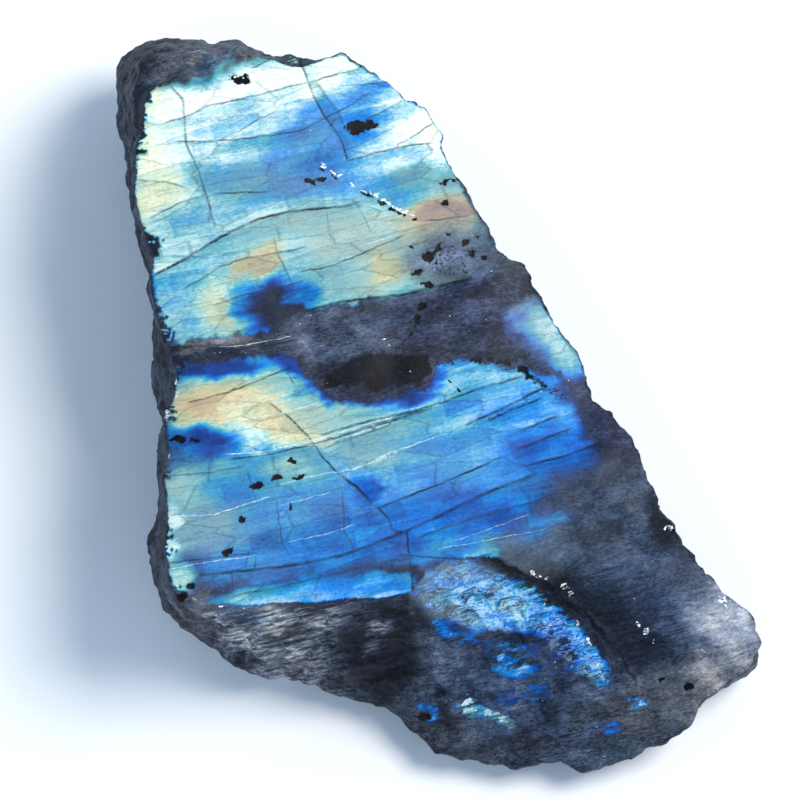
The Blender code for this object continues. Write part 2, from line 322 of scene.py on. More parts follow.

# The length of a crack's short steps and how far they wander, how far past a step's ends mesh points are
# drawn onto it, and how far the painted light and shade beside it reaches, all in millimetres. A place with
# no crack near it counts as nine crack widths away.
CRACK_STEP = 0.6
CRACK_WANDER = 0.06
SNAP_MARGIN = 0.1
SHADING_REACH = 1.3
FAR = 9.0

# Every random draw starts from this.
SEED = 11


def crooked(line, draw):
    """A crack's line broken into short steps that wander a little to either side."""
    points = [line[0]]
    for (x0, y0), (x1, y1) in zip(line, line[1:]):
        length = math.hypot(x1 - x0, y1 - y0)
        steps = max(1, round(length / CRACK_STEP))
        for k in range(1, steps + 1):
            share = k / steps
            aside = draw.uniform(-CRACK_WANDER, CRACK_WANDER) if k < steps else 0.0
            x = x0 + (x1 - x0) * share - (y1 - y0) / length * aside
            y = y0 + (y1 - y0) * share + (x1 - x0) / length * aside
            points.append((x, y))
    return points


def places_near(right, up, line, reach):
    """Numbers of the places that lie within reach of the box round a line."""
    xs = [x for x, _ in line]
    ys = [y for _, y in line]
    beside = (right > min(xs) - reach) & (right < max(xs) + reach)
    return np.nonzero(beside & (up > min(ys) - reach) & (up < max(ys) + reach))[0]


def snap_to_line(right, up, edges, line, facing):
    """Moves the nearer end of every mesh edge that a crack crosses onto the crack."""
    for start, end in zip(line, line[1:]):
        near = places_near(right, up, [start, end], 2.0 * SKIN_GRAIN)
        marked = np.zeros(len(right), bool)
        marked[near] = facing[near]
        a, b = edges[marked[edges[:, 0]] & marked[edges[:, 1]]].T
        dx, dy = end[0] - start[0], end[1] - start[1]
        length = math.hypot(dx, dy)
        offset = ((right - start[0]) * dy - (up - start[1]) * dx) / length
        middle = (right[a] + right[b]) / 2 - start[0], (up[a] + up[b]) / 2 - start[1]
        along = (middle[0] * dx + middle[1] * dy) / length
        crossing = (offset[a] * offset[b] < 0) & (along > -SNAP_MARGIN) & (along < length + SNAP_MARGIN)
        moved = np.unique(np.where(np.abs(offset[a]) < np.abs(offset[b]), a, b)[crossing])
        right[moved] -= offset[moved] * dy / length
        up[moved] += offset[moved] * dx / length


# How near each kind of crack is, in crack widths, how strong the nearest one is there, and the painted
# light and shade beside it, brighter on one side and darker on the other, where the blocks lean
# differently.
draw = np.random.default_rng(SEED)
lines = [crooked(crack[4], draw) for crack in CRACKS]
for line in lines[::-1]:
    snap_to_line(right, up, edge_ends, line, facing_up)
nearness = np.full((count, 3), FAR)
strength = np.zeros((count, 3))
block_shading = np.zeros(count)
for (kind, width, force, step, _), line in zip(CRACKS, lines):
    near = places_near(right, up, line, 3.0 * SHADING_REACH)
    near = near[facing_up[near]]
    column = CRACK_KINDS.index(kind)
    distance, share, side = along_line(right[near], up[near], line)
    ends = np.minimum(share, 1.0 - share) * len(line) * CRACK_STEP
    taper = eased(ends / 1.2 + 0.3)
    thin = np.clip(0.86 + 0.24 * np.sin(share * len(line) * 0.7 + 5.0 * force + line[0][0]), 0.35, 1.0)
    closer = distance / width < nearness[near, column]
    nearness[near[closer], column] = (distance / width)[closer]
    strength[near[closer], column] = (force * taper * thin)[closer]
    block_shading[near] += 1.5 * step * side * taper * np.exp(-distance / SHADING_REACH)


def rippled(right, up, seed, size, octaves=1):
    """Smooth random field, mostly between -1 and 1, with lumps of the given size in millimetres."""
    draw = np.random.default_rng(SEED * 100 + seed)
    field = np.zeros(len(right))
    reach = 1.0
    for _ in range(octaves):
        for _ in range(12):
            angle = draw.uniform(0.0, 2.0 * math.pi)
            wave = 2.0 * math.pi / (size * draw.uniform(1.2, 3.0))
            phase = draw.uniform(0.0, 2.0 * math.pi)
            field += reach * np.sin(wave * (right * math.cos(angle) + up * math.sin(angle)) + phase)
        size *= 0.5
        reach *= 0.6
    return field / 4.0


# The flash ends in ragged teeth along the left wall, softly at the crust and in scallops at the foot. The
# spacing of the teeth and the blur of the edges are in millimetres.
CRUST_EDGE = [
    (-23, 27), (-19.4, 33.2), (-17.8, 34), (-13.8, 34.8), (-10.8, 36.3), (-8.1, 37.2), (-6, 39),
]
FIBROUS_BREAK = [
    (-16, -17), (-11.3, -17.7), (-7.8, -17.5), (-1.3, -17.1), (3.2, -17), (6.6, -16.8), (6.1, -20.9),
    (5.6, -27.5), (-1, -27), (-8, -25.5), (-14, -22.5), (-17, -19),
]
TOOTH_SPACING = 1.2
EDGE_BLUR = 0.25
flat = right * 0.0
teeth = up / TOOTH_SPACING + 1.2 * rippled(flat, up, 1, 2.4)
teeth = 1.0 - (teeth - np.floor(teeth))
ragged = -(1.0 + 1.1 * rippled(flat, up, 2, 2.6)) * teeth + 0.25 * rippled(right, up, 3, 0.7, 2) + 0.4
from_left, from_foot = from_edges(right, up)
from_left += ragged
from_foot += 0.3 * np.abs(rippled(right, up, 4, 2.2)) - 0.15
from_crust = np.interp(right, [x for x, _ in CRUST_EDGE], [y for _, y in CRUST_EDGE]) - up
from_crust += 0.6 * rippled(right, up, 5, 1.6, 2)
on_face = eased(from_left / EDGE_BLUR + 0.5) * eased(from_foot / EDGE_BLUR + 0.5)
on_face *= eased(from_crust / 1.8 + 0.4) * eased((rise - 0.62) / 0.22)
on_lobe = eased(0.5 - from_foot / EDGE_BLUR) * eased((right - 6.4) / 0.5) * eased(rise / 0.3)
fibrous = eased(depth_inside(right, up, FIBROUS_BREAK) / 0.8 + 0.5) * (1.0 - on_face)

# Soft zones of the flash: right, up, half length, half width, turn in degrees, then the spacing of the
# lamellae (0 violet to 1 copper), the strength of the flash and the milkiness over it.
FLASH_ZONES = [
    (-7, 23, 20, 20, 0, .43, .95, .05), (-16.3, 27.1, 4.4, 8, 0, .63, 1.4, 0),
    (-18.2, 29.5, 1.8, 6, 0, .68, 1.25, 0), (-8.1, 33.9, 8.5, 2.4, 3, .58, 1.55, 0),
    (-13.5, 34.7, 3.4, 1, 10, .42, .8, .1), (-4.3, 35.9, 3.4, 1.6, 15, .56, 1.5, 0),
    (-.9, 36.3, 3.2, 1.4, 10, .54, 1.5, 0), (2.9, 34.4, 3.8, 2, 12, .40, 1.1, 0),
    (6.9, 32.4, 3.6, 1.3, 12, .50, 1.35, 0), (-8.8, 30.6, 9, 2.8, 8, .45, 1.25, 0),
    (-10, 27, 6, 1.8, 3, .47, 1.3, .1), (-1.6, 31.6, 1.3, 2.6, -62, .36, .8, .1),
    (-1.8, 28.2, 5.4, 3.2, 20, .335, .72, .3), (2.3, 33.1, 2, 1, 25, .29, .8, .2),
    (-1.6, 25.2, 3.6, 1.8, 10, .29, .5, .3), (-8.3, 24.6, 7.5, 2, 0, .40, .6, .4),
    (-2.4, 26.6, 2.6, 1.2, 25, .33, .5, .1), (5.7, 26.9, 5.6, 1.8, 10, .44, 1.5, 0),
    (6.9, 30.3, 4, 1.8, 15, .50, 1.35, 0), (9.2, 30.3, 1.6, 2.8, 0, .56, 1.6, 0),
    (2, 30.4, 2.2, 1.8, 0, .36, .95, 0), (6.7, 25, 2.5, .9, 25, .5, .45, .4),
    (4.6, 23.4, 3.4, 1.6, 0, .40, .8, .2), (11.6, 24.2, 2, 1.6, 0, .47, .6, .5),
    (-18.5, 22.8, 2.8, 2.6, 0, .68, 1.15, 0), (-17.6, 19.4, 2.2, 2.6, 0, .62, .95, .1),
    (-13.6, 19.8, 5, 3, 18, .45, .95, .3), (-3.5, 20.5, 7, 2, 6, .55, .85, .5),
    (1.6, 18.6, 7.5, 2.6, 0, .62, .8, .55), (-8.8, 17.4, 5, 1.8, 18, .50, .85, .2),
    (10.2, 21.4, 4.6, 1.6, 8, .90, .55, .4), (-15.6, 14.6, 5, 2.4, 14, .43, .9, .1),
    (-16, 10.8, 4.6, 2.4, 8, .43, .85, .3), (-8, 16.5, 2.7, 1.5, 30, .80, .7, .25),
    (1.2, 14.9, 5.4, 2, 0, .53, .7, .4), (4.4, 15.9, 1.9, 2, 0, .72, .85, .1),
    (-11.6, 11.9, 2.2, 2.8, 0, .66, .8, .05), (-9, 11.9, 1.8, 2.6, 0, .30, .7, 0),
    (-6, 12.1, 2.6, 2.2, 0, .12, .26, 0), (-3.4, 13.4, 1.8, .9, 0, .3, .6, 0),
    (11.5, 17, 4.8, 3, 0, .68, .1, .2), (17.5, 16, 3, 2, 0, .1, 0, .1),
    (17.4, 11, 4.6, 2, -52, .21, .5, .1), (20.2, 9.6, 4.4, 1.5, -55, .38, .6, .8),
    (22.6, 7.4, 5.4, 1.4, -57, .72, 1.1, .8), (23.8, 6.6, 4, .5, -57, .62, 1.1, .4),
    (10, -1, 24, 9, 10, .34, .85, .2), (-10.3, 4.6, 6.4, 1.6, 8, .62, .8, 0),
    (-12.6, 2, 4.6, 1.9, -4, .86, .9, .1), (-7.4, 1.6, 4, 2, -8, .74, 1.1, .05),
    (-4.9, -.2, 4, 1.3, -8, .8, 1.1, 0), (-.4, 1.8, 4.4, 2, 8, .62, .7, .3),
    (3.6, .4, 4.4, 1.8, 10, .50, .7, .35), (-9.9, -.9, 2.6, 1.4, -8, .48, 1.1, 0),
    (-13.2, -1.2, 3.2, 1.6, -8, .20, .62, 0), (-4.8, -4.4, 3, 1.8, 10, .55, .8, .2),
    (-14.8, -6, 3.4, 2.4, 8, .55, .75, .4), (-10.2, -5.4, 3.6, 2, 8, .38, .75, .1),
    (8, -2.6, 9, 3, 12, .37, .85, .25), (11.9, 5.3, 3.6, 1.5, 8, .40, .95, .1),
    (8, 2.6, 4, 1.2, 14, .42, .8, .1), (13.5, 1, 4, 2, 14, .40, 1, .1),
    (18.2, 2, 3.8, 3.4, 0, .34, 1.1, 0), (21.4, -2, 5.6, 2.4, 8, .26, 1.05, 0),
    (-13.8, -10, 5, 2.4, 6, .43, .6, .75), (-16.8, -10.4, 1.2, 3, 0, .56, 1.3, .2),
    (-4, -7.6, 6, 2, 10, .34, .75, .25), (2.6, -2.4, 3.6, 1.3, 14, .45, .75, .6),
    (2.6, -6, 1.9, 1.1, -40, .24, .75, 0), (7.5, -9, 8.5, 2.2, 14, .27, .85, 0),
    (15.5, -8.6, 8.5, 2, 16, .29, .85, 0), (-1, -11.8, 7.5, 2.6, 10, .28, .75, .05),
    (-9.4, -13.4, 5, 1.8, 6, .31, .7, .2), (-12, 6.1, 5.6, .9, 3, .19, .75, 0),
    (-4.2, 6.5, 1.9, 1, -35, .19, .75, 0), (-2.1, 4, 2, 1, -60, .2, .8, 0),
    (1.6, 3.1, 3, .7, -8, .2, .8, 0), (6.2, 3.3, 2.6, .9, 8, .19, .75, 0),
    (9, 4.8, 1.8, 1, 45, .22, .85, 0), (13, -12, 6, 1.2, 5, .34, .8, .1),
    (19.5, -11.5, 4.6, 2.6, 12, .46, .22, .3), (22.5, -6.8, 3.4, 1.6, 14, .24, .5, 0),
    (-16.2, -14.9, 1.6, 1.6, 0, .55, 1, .2), (-9.4, -16.6, 2.8, .8, 0, .45, .9, .2),
    (0, -15.9, 8.4, 1.3, 4, .36, 1.2, 0), (5, -15.4, 2.6, 1.1, 4, .34, 1, 0),
    (13.4, -12.6, 1.9, .7, 0, .44, 1.2, 0), (27.4, -.4, 2.8, 5.8, 35, .1, .05, 0),
    (25.6, 1.2, 3.6, 1.8, -52, .12, .25, 0), (28.4, -11.6, 9.4, 6, -42, .3, .04, .03),
    (19.6, -9.4, 3, 1.2, 14, .36, .5, .1),
]

# The flash of the rough lobe below the ledge, placed in the same way.
LOBE_FLASH_ZONES = [
    (11.6, -15.9, 5, 3.2, -25, .34, .75, .55), (14.6, -17.4, 4.6, 1.8, -22, .355, 1.05, .05),
    (17.6, -17.2, 3.4, 2, -35, .37, 1, .1), (21.8, -20.2, 4.4, 1.8, -48, .345, 1, 0),
    (25.2, -23.4, 2.2, 1.1, -55, .37, 1.05, 0), (11.6, -19.8, 2.8, .9, -18, .27, .85, 0),
    (20.6, -22.2, 3, 2.2, -30, .17, .42, 0), (16.8, -22.8, 2.6, 1.8, -35, .30, .9, 0),
    (17.8, -26.3, 2.8, .8, 10, .24, .75, 0), (12.6, -27.4, 1.4, 1, -30, .44, 1.1, 0),
    (15.8, -28.7, 2, .5, -28, .47, .9, .2), (8.7, -28, 1.2, .9, -50, .34, .7, 0),
    (29.5, -27.2, 1, .6, -20, .34, 1, .1), (26.3, -29.7, 2, .5, 0, .30, .85, 0),
]

# The dark band across the face, where little flash shows, the black patch in it, and the slope of the
# lamellae across the face.
DARK_BAND = [
    (-18, 8.1), (-12, 9.2), (-6.4, 9.5), (-5, 12), (-1.8, 11.9), (2.8, 12.8), (6.3, 13.2), (13.2, 15),
    (18.4, 15.9), (19.5, 13.6), (15.6, 12), (16, 9.6), (19.4, 7), (23.4, 3.9), (25.8, 3.2), (25.4, 3.9),
    (22, 5), (16.5, 6.4), (12.6, 7), (9.8, 6.7), (8.9, 4.3), (5.4, 3.2), (0.6, 2.6), (-2.2, 3.8),
    (-4, 6.6), (-5.6, 7.6), (-8.4, 7.2), (-12, 6.8), (-16.4, 6.4),
]
BLACK_PATCH = [
    (2.1, 7.4), (3.8, 7.6), (6, 7.3), (8.6, 7.3), (9, 5.7), (7.7, 4.6), (5.6, 4.4), (3.6, 3.8),
    (2, 4.4), (-1, 4.5), (-2, 5.2), (0, 6.2), (0.9, 6.9),
]
LAMELLA_RISE = math.radians(14.0)


def zone_values(right, up, zones, start, softness):
    """Values of overlapping zones with soft edges, each laid over the ones before it."""
    values = np.tile(np.array(start, float), (len(right), 1))
    for x, y, length, width, turn, *zone in zones:
        angle = math.radians(turn)
        along = (right - x) * math.cos(angle) + (up - y) * math.sin(angle)
        across = -(right - x) * math.sin(angle) + (up - y) * math.cos(angle)
        reach = np.hypot(along / length, across / width)
        weight = eased((1.0 + softness / 2.0 - reach) / softness)[:, None]
        values = values * (1.0 - weight) + np.array(zone) * weight
    return values


# Zones are read at places shifted in thin streaks along the lamellae, so that their colours run into
# each other as brush strokes do.
along = right * math.cos(LAMELLA_RISE) + up * math.sin(LAMELLA_RISE)
across = -right * math.sin(LAMELLA_RISE) + up * math.cos(LAMELLA_RISE)
shift = 0.25 * rippled(along / 5.0, across, 6, 0.6, 3) + 0.4 * rippled(right, up, 7, 3.0, 4)
drift = 0.25 * rippled(right, up, 8, 2.4, 4)
bent_right = right + shift * math.cos(LAMELLA_RISE) - drift * math.sin(LAMELLA_RISE)
bent_up = up + shift * math.sin(LAMELLA_RISE) + drift * math.cos(LAMELLA_RISE)
ragged_right = right + 0.12 * rippled(right, up, 9, 0.6, 2)
ragged_up = up + 0.12 * rippled(right, up, 10, 0.6, 2)

in_band = depth_inside(
    right + 0.35 * rippled(right, up, 11, 1.2, 3), up + 0.25 * rippled(right, up, 12, 1.2, 3), DARK_BAND)
in_black = eased(depth_inside(ragged_right, ragged_up, BLACK_PATCH) / 0.3 + 0.5)

# The flash fades in the band, streaks, takes the painted light and shade of the leaning blocks, and glows
# along the foot.
flash = zone_values(bent_right, bent_up, FLASH_ZONES, (0.4, 0.0, 0.0), 1.25)
band_edge = 0.8 + 2.4 * eased((right - 12.5) / 5.0) * eased((up - 5.0) / 3.0)
flash[:, 1] *= 1.0 - 0.97 * eased(in_band / band_edge + 0.6)
flash[:, 2] *= 1.0 - eased(in_band / 0.8 + 0.7)
streaks = rippled(along / 9.0, across, 13, 0.55, 3)
# Painted light and shade of the leaning blocks brightens or dims the flash.
flash[:, 1] *= np.clip((1.0 + block_shading) * (1.0 + 0.05 * streaks), 0.3, 1.8)
foot_glow = eased(1.0 - from_foot / 1.1) * eased((right + 11.0) / 3.0) * eased((7.2 - right) / 2.0)
flash[:, 1] += 0.85 * foot_glow * eased(rippled(right, up, 20, 1.4) + 0.9)
flash[:, 1] *= 1.0 - 0.1 * eased((2.0 - up) / 6.0)
flash[:, 1:] *= on_face[:, None]
lobe_flash = zone_values(ragged_right, ragged_up, LOBE_FLASH_ZONES, (0.35, 0.0, 0.0), 0.9)
lobe_flash[:, 1:] *= on_lobe[:, None]
flash = np.where((on_lobe > on_face)[:, None], lobe_flash, flash)

# A weak flash leans to blue and violet, a strong one keeps the colour of its lamellae.
blue_lean = 0.5 - 0.42 * eased(1.8 - np.hypot((right - 8.5) / 5.0, (up - 16.5) / 4.0))
blue_lean *= 1.0 - 0.9 * eased((up - 32.6) / 1.4)
flash[:, 0] *= 1.0 - blue_lean * (1.0 - eased(flash[:, 1] / 0.6))
flash[:, 0] += 0.012 * streaks + 0.02 * rippled(right, up, 14, 3.0, 2)

# Soft zones of the body colour where no flash hides it, placed in the same way, then tone (0 black to
# 1 pale), warmth (0 blue-grey to 1 brown) and violet.
BODY_ZONES = [
    (-16.3, 36.9, 9, 3, 0, .44, .7, 0), (-12.4, 36.2, 2.6, .9, 14, .52, 0, 0),
    (-9, 37, 2, .8, 14, .52, .8, 0), (-21.5, 32, 2, 8, 0, .25, .3, .2), (-19.8, 13, 2.2, 26, 0, .21, .3, 0),
    (-11.8, 8.4, 5, 1, 2, .40, .9, 0), (-11.8, 7.2, 5, .8, 2, .18, .1, .4),
    (-6, 12, 3.2, 2.6, 0, .12, 0, .2), (3, 10, 8, 2.2, 4, .39, .4, .2), (-2, 9, 3.6, 2, 0, .42, .5, .2),
    (7, 11.4, 5, 1, 4, .38, .1, .2), (13, 11.4, 7, 3.4, 0, .28, .4, .5),
    (11.2, 17.2, 5, 2.6, 0, .47, .1, .4), (17.4, 16.2, 3, 1.8, -30, .26, .7, .2),
    (10.4, 21.2, 4.6, 1.8, 0, .56, .9, .1), (7, 4, 3, 1, 4, .24, .4, .8), (3, 4, 6.4, 1.5, 0, .22, .3, .7),
    (22.6, 4.8, 3.8, 1.8, -40, .34, .2, .7), (16.6, 5, 2.6, 1.3, -15, .36, .1, .5),
    (27, .2, 2.4, 5.6, 36, .25, .5, .7), (27.6, -10.5, 9, 6, -42, .31, .2, .15),
    (20, -11.6, 4, 2.4, 12, .36, .1, 0), (31, -12, 3, 2, -30, .36, .1, .3),
    (32.3, -9.4, 1.6, 3.2, 38, .05, .1, .3), (30, -17, 6, 2.6, -30, .36, .1, .4),
    (39.8, -18.4, 4.8, 5, -45, .73, .6, .1), (41.3, -24.3, 3, 1.4, 35, .52, .5, 0),
    # The near-black zones at 20.6, -15.8 and 27.6, -20.6 are painted shade in the hollow beside the ledge.
    (36, -25.6, 5.8, 3.4, 20, .68, .9, 0), (20.6, -15.8, 7, 1.9, -34, .04, .2, .2),
    (27.6, -20.6, 3.4, 5, 30, .10, .3, .4), (18, -27, 12, 5.4, 6, .41, .15, .2),
    (9.8, -22, 3.4, 3, 0, .5, .3, 0), (30, -28, 7, 3.2, 18, .44, .7, 0),
    (9.6, -29.6, 4, 2.4, -20, .34, .7, .1), (18, -32, 8, 1.8, 0, .32, .5, .2),
    (26, -32, 5, 1.4, 10, .42, .3, 0), (-4, -21, 11, 4.4, -12, .54, .8, 0),
    (3.6, -22.4, 4.2, 5, 0, .10, .5, .2), (4.1, -19.3, 1.1, .7, 0, .55, .7, 0),
    (3.1, -21.3, .8, .8, 0, .4, .7, 0), (-15.4, -19, 3, 2.2, -30, .30, .8, .1),
    (-9.6, -18.4, 3, .7, 0, .48, .2, 0),
]

# The same three values on the broken walls and the underside, and the height where the walls begin.
WALL_BODY = (.30, .4, .1)
RIM_HEIGHT = 18.0

body = zone_values(bent_right, bent_up, BODY_ZONES, (0.28, 0.4, 0.1), 1.1)
on_walls = 1.0 - eased((rise - 0.05) / 0.4)
body += (np.array(WALL_BODY) - body) * (on_walls * (1.0 - fibrous))[:, None]
under_rim = on_walls * eased((RIM_HEIGHT - height) / 5.0)
layers = rippled(along / 5.0, across, 15, 0.8, 3)
clouds = rippled(right + 0.5 * height, up - 0.8 * height, 16, 2.6, 4)
smoke = rippled(along / 2.6, across, 21, 1.8, 4)
smoke *= 1.0 - 0.8 * eased((right - 26.0) / 8.0)
body[:, 0] *= 1.0 + 0.05 * layers + (0.12 + 0.1 * on_walls) * clouds + 0.16 * smoke
body[:, 0] *= 1.0 - 0.97 * in_black * on_face
body[:, 1] += 0.10 * clouds
body[:, 1] *= 1.0 - in_black * on_face

# Dark grains and pits, then patches pitted all over, with how densely, then painted white glints, with a
# few white crystal grains among them, each with right, up, half length, half width and turn.
DARK_SPOTS = [
    (1.6, 30, 1.2, .8, 0), (2.6, 30.4, .7, .5, 30), (3.4, 30.2, .5, .25, 20), (-10, 34.8, 1.25, .55, -4),
    (-3, 24.6, .9, .25, -20), (-1.9, 24.9, .7, .2, 10), (10.7, 24.7, 1.1, .25, 10),
    (10.4, 22.6, .45, .35, 0), (9.6, 18, 1, .25, 45), (8.7, 17.1, .7, .5, 0), (9.5, 16.5, .25, .2, 0),
    (7.6, 15.6, .8, .3, 20), (8.6, 14.4, .7, .3, 0), (12.4, 18.6, .4, .3, 0), (13, 17.4, .35, .4, 0),
    (14.2, 17, .3, .25, 0), (13.6, 19.2, .4, .2, 0), (10.6, 19.4, .2, .2, 0), (7, 18.2, .25, .2, 0),
    (-.9, 4.6, 1, .4, 8), (13.4, 6.9, .9, .22, 0), (15.2, 6.9, .9, .22, -8), (16.4, 6.6, .5, .3, -20),
    (18, 6, .7, .3, -40), (18.8, 5.2, .7, .3, -20), (20, 4.6, .5, .2, -40), (10.9, 4.8, .3, .2, 0),
    (11.6, 4.1, .4, .15, -40), (-4.7, -3, .5, .35, -30), (-6.2, -4.7, .6, .35, 0), (-4, -4.6, .8, .25, 20),
    (-8.1, -5.5, .7, .35, 0), (-9.6, -8.7, .4, .4, 0), (-11, -12, .7, .45, 0), (-4.8, -7.6, .25, .5, 0),
    (-15.8, -.9, 1, .4, 0), (-14.2, -1, .6, .3, 10), (-14.5, -15.2, .4, .4, 0), (-15.6, -16.4, .9, .5, 30),
    (7.6, 11, .3, .6, 0), (8.1, 12.2, .5, .35, 30), (7, 9.4, .35, .3, 30), (8.2, -28.6, .9, .5, 0),
    (34.6, -25.6, .5, .5, 0), (31.8, -24.8, .3, .3, 0), (-19, -3, .4, .8, 0), (-18.4, 6, .5, 1.2, 0),
]
GRANULAR_ZONES = [
    (11, 17, 3.6, 2.2, 0, .5), (7.6, 11, 1.3, 2.4, 0, .38), (10, 6.6, 3.6, .5, 4, .5),
    (16, 6.2, 3.4, .5, -10, .55), (20.6, 4.2, 3.2, .6, -32, .55), (-1, 4.6, 2, .6, 8, .45),
    (-10, 8, 7, .4, 2, .42), (3, -21, 3, 4, 0, .3), (20, -27, 9, 4, 10, .25),
]
GLINTS = [
    (19.2, -14.2, .8, .3, -35), (20.4, -14.7, .3, .3, 0), (22.2, -15.4, .6, .45, 0),
    (22.8, -16.2, .4, .4, -50), (29.5, -19.2, .5, .35, -50), (30.2, -20, .4, .7, 0),
    (30.9, -21.2, .25, .6, -20), (35.8, -21.9, .6, .2, -20), (25.9, -24.6, .25, .6, 30),
    (25.4, -23.3, .2, .5, 20), (4.2, 8.9, .8, .15, 15), (4.9, 8.5, .3, .15, 0), (-16.4, 4.7, .7, .6, 30),
    (-16.2, 3.3, .6, .5, 45), (-17.2, 1.6, .7, .7, 0), (-16.8, -2.6, .6, .25, 0), (-10.2, 35, .8, .24, 0),
    (-17.6, -11.6, .5, .4, 0), (-17.4, -13.9, .6, .2, 0), (-17.5, -6.9, .6, .3, 0),
    (-17.2, -8.3, .5, .2, 0), (-14.9, -13.4, .5, .2, 0), (-13.8, -16.5, .9, .16, -12),
    (-11.5, -17.2, .8, .15, -3), (-9.6, -17.3, .5, .12, 10), (-16, -15.3, .5, .2, 0),
    (20.2, -16.9, .2, .5, 10), (21.7, -18.4, .2, .5, 30), (24.6, -20.9, .2, .6, 30),
    (23.4, -19.1, .2, .4, 30), (26.4, -32.4, .4, .2, 0), (32.4, -9.8, .5, .35, 0), (30, -13, .2, .3, 0),
    (38, -17, .4, .8, 30),
]
dark_spots, granular, glints = (
    zone_values(ragged_right, ragged_up, zones, (0.0,), softness)[:, 0]
    for zones, softness in (
        ([spot + (1.0,) for spot in DARK_SPOTS], 0.9), (GRANULAR_ZONES, 1.0),
        ([spot + (1.0,) for spot in GLINTS], 0.7)))
facing = eased((rise - 0.22) / 0.2)
on_top = np.maximum(facing, eased((height - 19.2) / 1.2))
dark_spots = np.maximum(dark_spots, granular) * on_top
glints *= np.maximum(facing, 0.7 * on_top)
# Painted glints along the teeth of the left edge, where the edges of the lamellae catch the light.
edge_teeth = eased(1.0 - np.abs(from_left - 0.15) / 0.25) * eased(rippled(right, up, 17, 0.9) + 0.1)
glints = np.maximum(glints, 0.8 * edge_teeth * eased((height - RIM_HEIGHT) / 2.0))

# A seam with a white lip and a dark one, and the foil on the lobe. The band and the lobe have the most
# pin-sized painted sparkles.
SEAM_LINE = [
    (-1.9, 26.2), (-.6, 25.3), (.3, 25), (.9, 24.4), (2.2, 23.6), (3.6, 23.2), (5.2, 22), (7.3, 21.2),
]
SEAM_WIDTH = 0.34
FOIL = [
    (7.6, -15.9), (9.7, -14), (12.1, -12.8), (15.6, -13.7), (18.7, -16.8), (23.1, -19), (25.6, -22.5),
    (26.8, -24.6), (23.7, -24.6), (21.2, -21.8), (19.3, -19.6), (16.8, -20.3), (14, -19.6), (9.3, -18.1),
]
seam, _, seam_side = along_line(ragged_right, ragged_up, SEAM_LINE)
white_side = eased(1.2 - np.abs(seam - 0.12 * seam_side) / SEAM_WIDTH) * facing_up
dark_side = eased(1.2 - np.abs(seam + 0.22 * seam_side) / SEAM_WIDTH) * facing_up
glints = np.maximum(glints, 1.15 * white_side * eased(rippled(right, up, 18, 0.7) + 1.2))
dark_spots = np.maximum(dark_spots, dark_side * eased(rippled(right, up, 19, 0.6) + 0.5))
sparkle = 0.5 * eased(in_band + 0.5) + 0.06 * on_face
foil = eased(depth_inside(ragged_right, ragged_up, FOIL) / 0.5 + 0.5) * on_lobe
sparkle = np.maximum(sparkle, on_lobe * 0.5)

# Pits are small hollows and the three kinds of crack fine grooves, this deep in millimetres.
PIT_DEPTH = 0.06
CRACK_DEPTHS = (0.09, 0.03, 0.05)
groove = PIT_DEPTH * dark_spots
for kind, depth in enumerate(CRACK_DEPTHS):
    groove += depth * strength[:, kind] * np.exp(-(nearness[:, kind] * 0.5) ** 2)
places = laid_down(right, up, height)
places -= normals * (groove * on_face)[:, None] * MM
skin.vertices.foreach_set("co", places.ravel())
skin.update()

# What the material and the relief read from every point of the skin, three values to a name.
for name, columns in {
    "flash": flash.T,
    "body": body.T,
    "breaks": (on_lobe, fibrous, on_face),
    "marks": (dark_spots, glints, sparkle),
    "crack_nearness": nearness.T,
    "crack_strength": strength.T,
    "texture": (foil, on_face * eased(flash[:, 1] * 2.0), under_rim),
}.items():
    layer = skin.attributes.new(name, "FLOAT_VECTOR", "POINT")
    layer.data.foreach_set("vector", np.stack(columns, axis=1).astype(np.float32).ravel())


def linear(hex_colour):
    """An sRGB hex value as linear red, green, blue and alpha."""
    parts = [int(hex_colour[k : k + 2], 16) / 255.0 for k in (1, 3, 5)]
    return [p / 12.92 if p <= 0.04045 else ((p + 0.055) / 1.055) ** 2.4 for p in parts] + [1.0]


def add_node(tree, kind, inputs=(), **settings):
    """A node with its settings. Each input is linked from a node or a socket, or set to a value. The kind
    may leave out ShaderNode."""
    node = tree.nodes.new(kind if "Node" in kind else "ShaderNode" + kind)
    for name, value in settings.items():
        setattr(node, name, value)
    for key, source in inputs.items() if isinstance(inputs, dict) else enumerate(inputs):
        if isinstance(source, bpy.types.Node):
            source = source.outputs[0]
        if isinstance(source, bpy.types.NodeSocket):
            tree.links.new(source, node.inputs[key])
        else:
            node.inputs[key].default_value = source
    return node


def set_stops(ramp, stops):
    """Gives a colour ramp its hex colours at the given places."""
    elements = ramp.color_ramp.elements
    for place, colour in stops[1:-1]:
        elements.new(place).color = linear(colour)
    elements[0].position, elements[0].color = stops[0][0], linear(stops[0][1])
    elements[-1].position, elements[-1].color = stops[-1][0], linear(stops[-1][1])


# The size and height of each kind of relief, the share of it that the cleavage face keeps, and how much
# more of it the walls have.
BREAK_INPUTS = {
    "Break relief": 1.9 * MM,
    "Break grain": 4.0 * MM,
    "Chip relief": 0.6 * MM,
    "Chip size": 1.5 * MM,
    "Foil relief": 0.66 * MM,
    "Foil size": 0.8 * MM,
    "Face share": 0.08,
    "Wall relief": 0.3,
}


